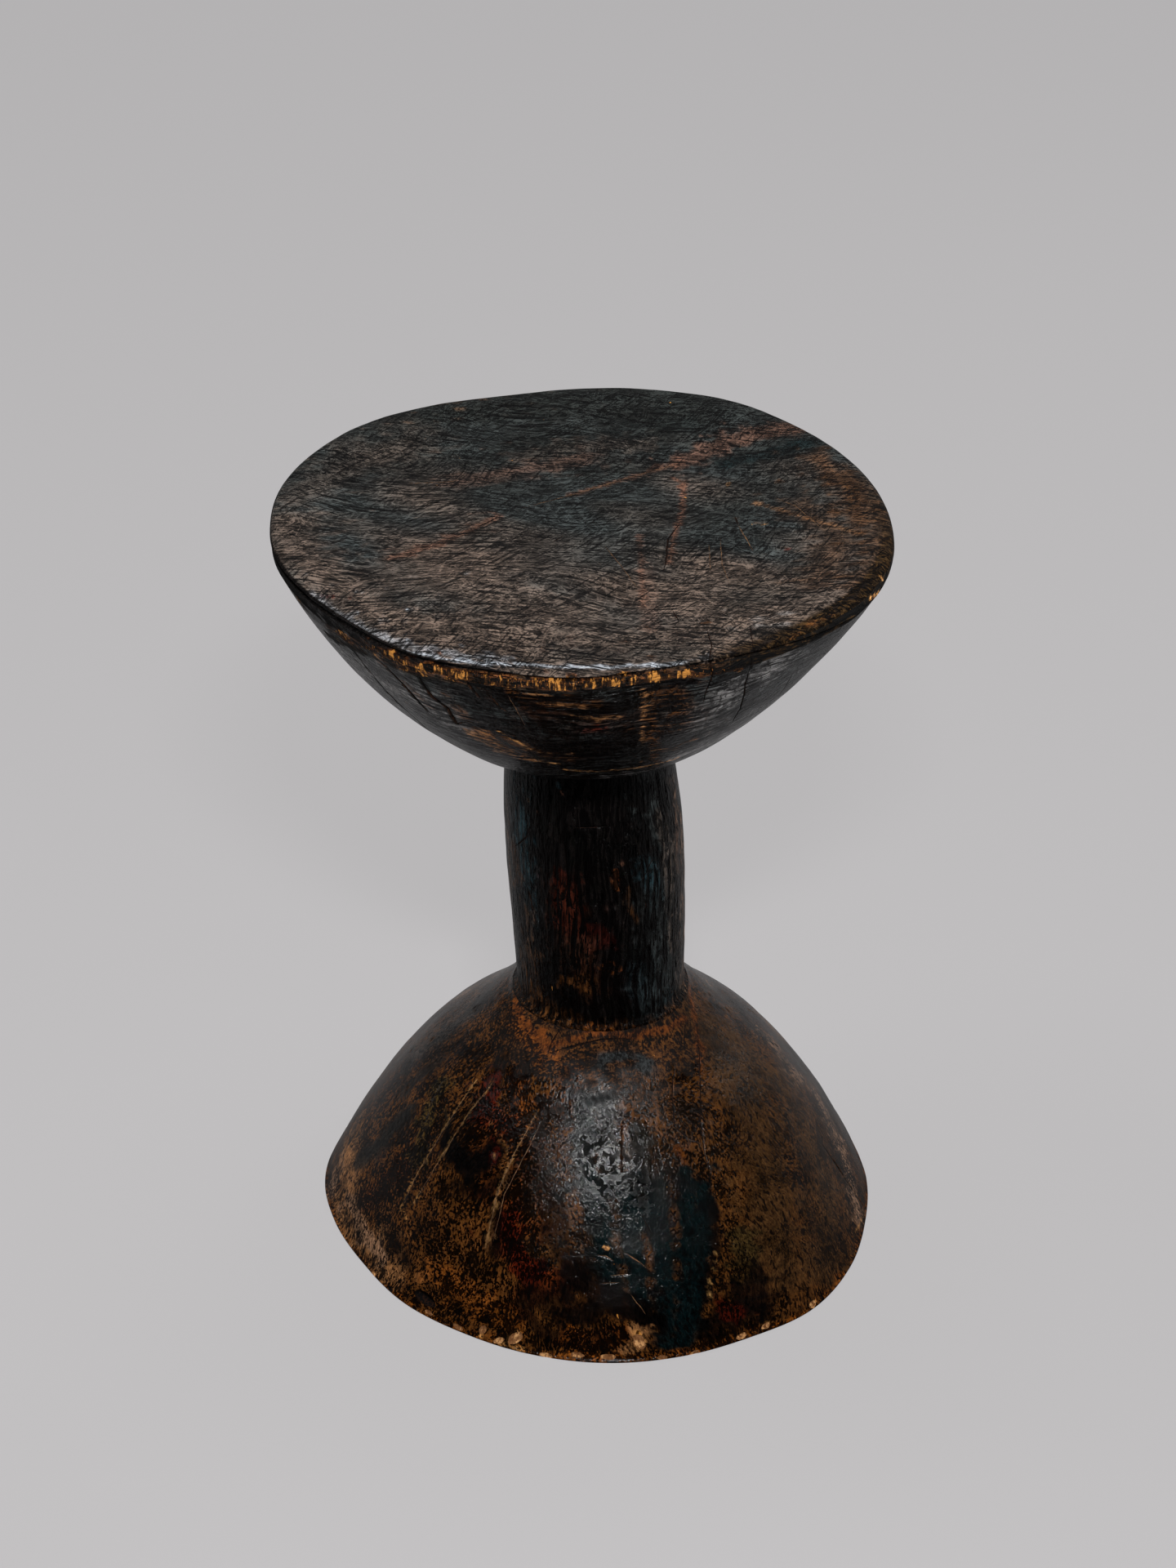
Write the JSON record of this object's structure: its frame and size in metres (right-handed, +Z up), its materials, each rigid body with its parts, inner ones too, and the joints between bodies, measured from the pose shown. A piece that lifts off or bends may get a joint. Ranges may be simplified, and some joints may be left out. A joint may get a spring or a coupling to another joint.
{
  "type": "carved wooden stool",
  "caption": "Low round hand-carved wooden stool: faintly dished bowl-shaped seat on a leaning round column and a domed foot hollowed from below.",
  "frame": {"origin": "middle of the stool's box at floor level, on the plane that the foot's flat ring rests on", "axes": "+Z up along the stool's height, -Y towards the side that the picture shows in front, +X to the picture's right"},
  "size_m": [0.2892, 0.2862, 0.38],
  "materials": {
    "seat_wood": "dark grey-brown patina, hand-worn, satin, with fine fibre scratches and bare orange wood at the rim",
    "column_wood": "almost black patina, satin, with upright grain and reddish-brown worn patches",
    "foot_wood": "mottled brown, orange-brown and blue-black patina, rubbed glossy in front, with chips of bare wood at the rim"
  },
  "bodies": {
    "root": {"seat": "seat_wood", "column": "column_wood", "foot": "foot_wood"}
  },
  "joints": []
}
